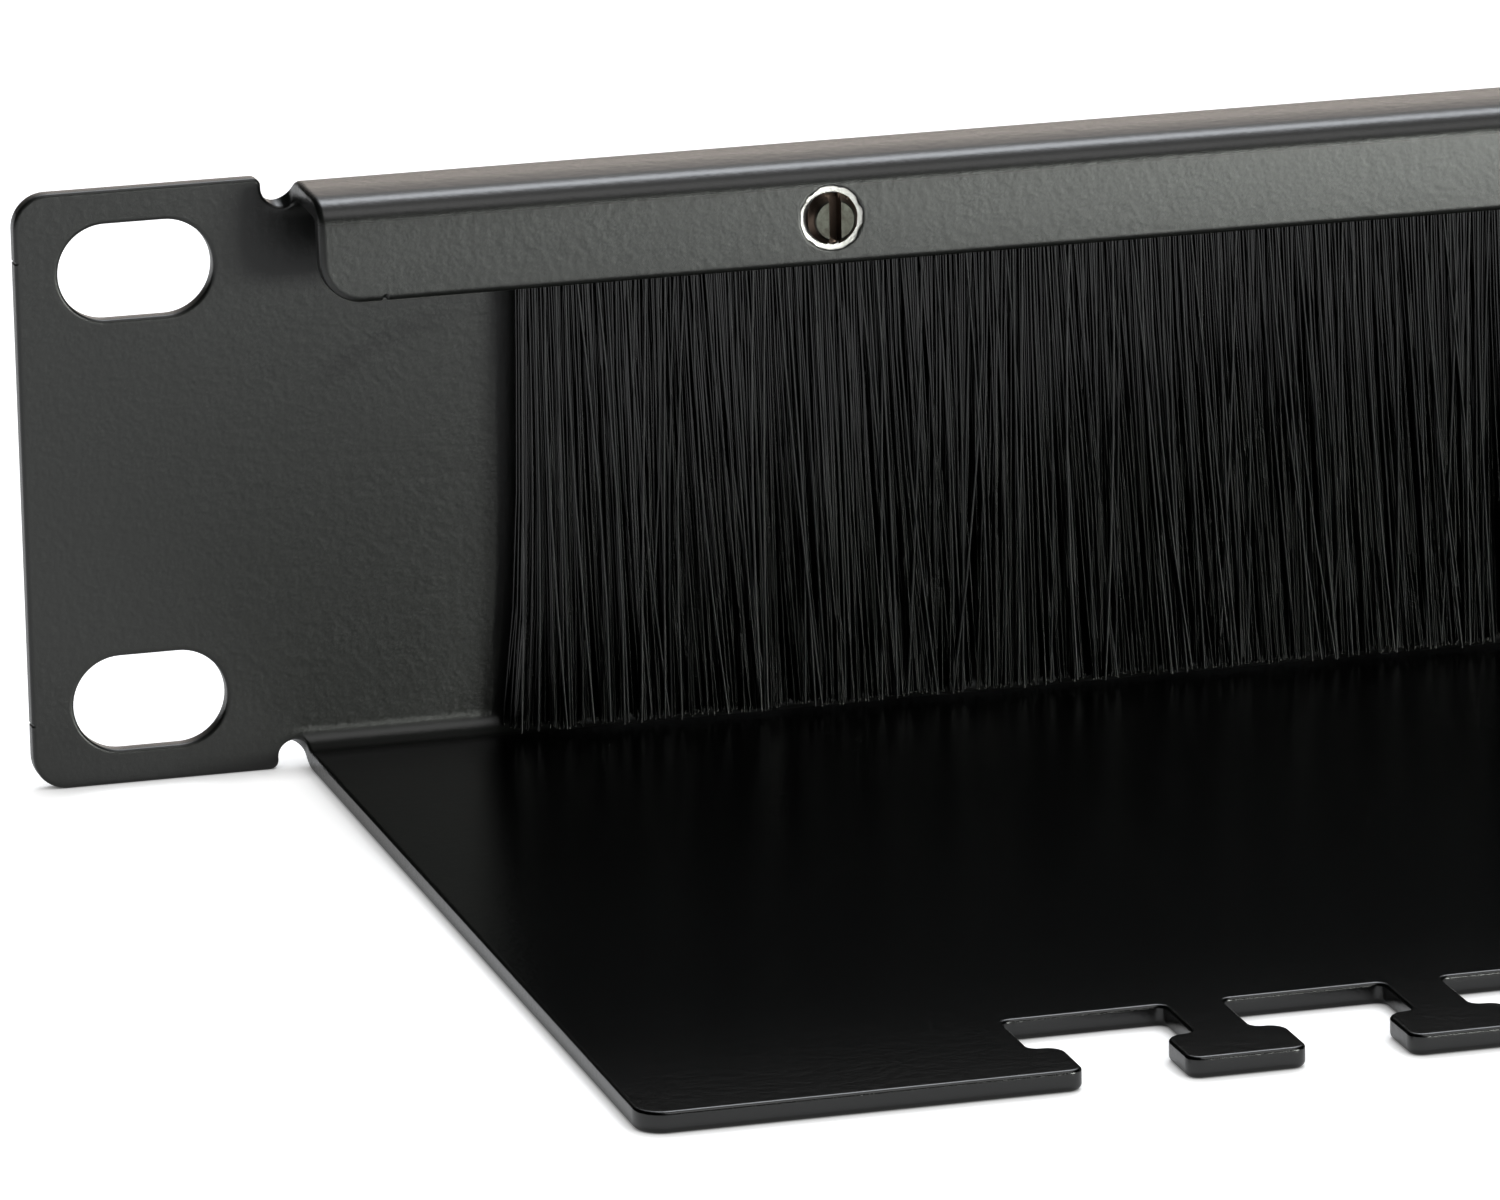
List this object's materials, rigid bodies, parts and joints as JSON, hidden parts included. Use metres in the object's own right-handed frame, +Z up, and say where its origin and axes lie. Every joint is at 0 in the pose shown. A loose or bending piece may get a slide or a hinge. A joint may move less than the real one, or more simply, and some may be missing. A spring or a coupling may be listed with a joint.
{
  "type": "rack brush strip panel",
  "caption": "Folded steel rack panel whose cable window is closed by a clamped strip brush, with a rear tray edged with cable-tie tabs.",
  "frame": {"origin": "centre of the four rack slots, on the face of the ears that meets the rack rails", "axes": "+X along the panel, -Y from the rail face into the rack, +Z up"},
  "size_m": [0.4826, 0.0945, 0.0436],
  "materials": {
    "coated_sheet": "satin black powder coat with a fine orange peel",
    "holder_steel": "zinc-plated strip",
    "wire_steel": "drawn wire",
    "bristle_nylon": "black filament with a soft sheen",
    "screw_steel": "dull dark steel"
  },
  "bodies": {
    "root": {"panel": "coated_sheet", "brush_holder": "holder_steel", "core_wire": "wire_steel", "bristles": "bristle_nylon", "set_screw_1": "screw_steel", "set_screw_2": "screw_steel", "set_screw_3": "screw_steel", "set_screw_4": "screw_steel"}
  },
  "joints": []
}
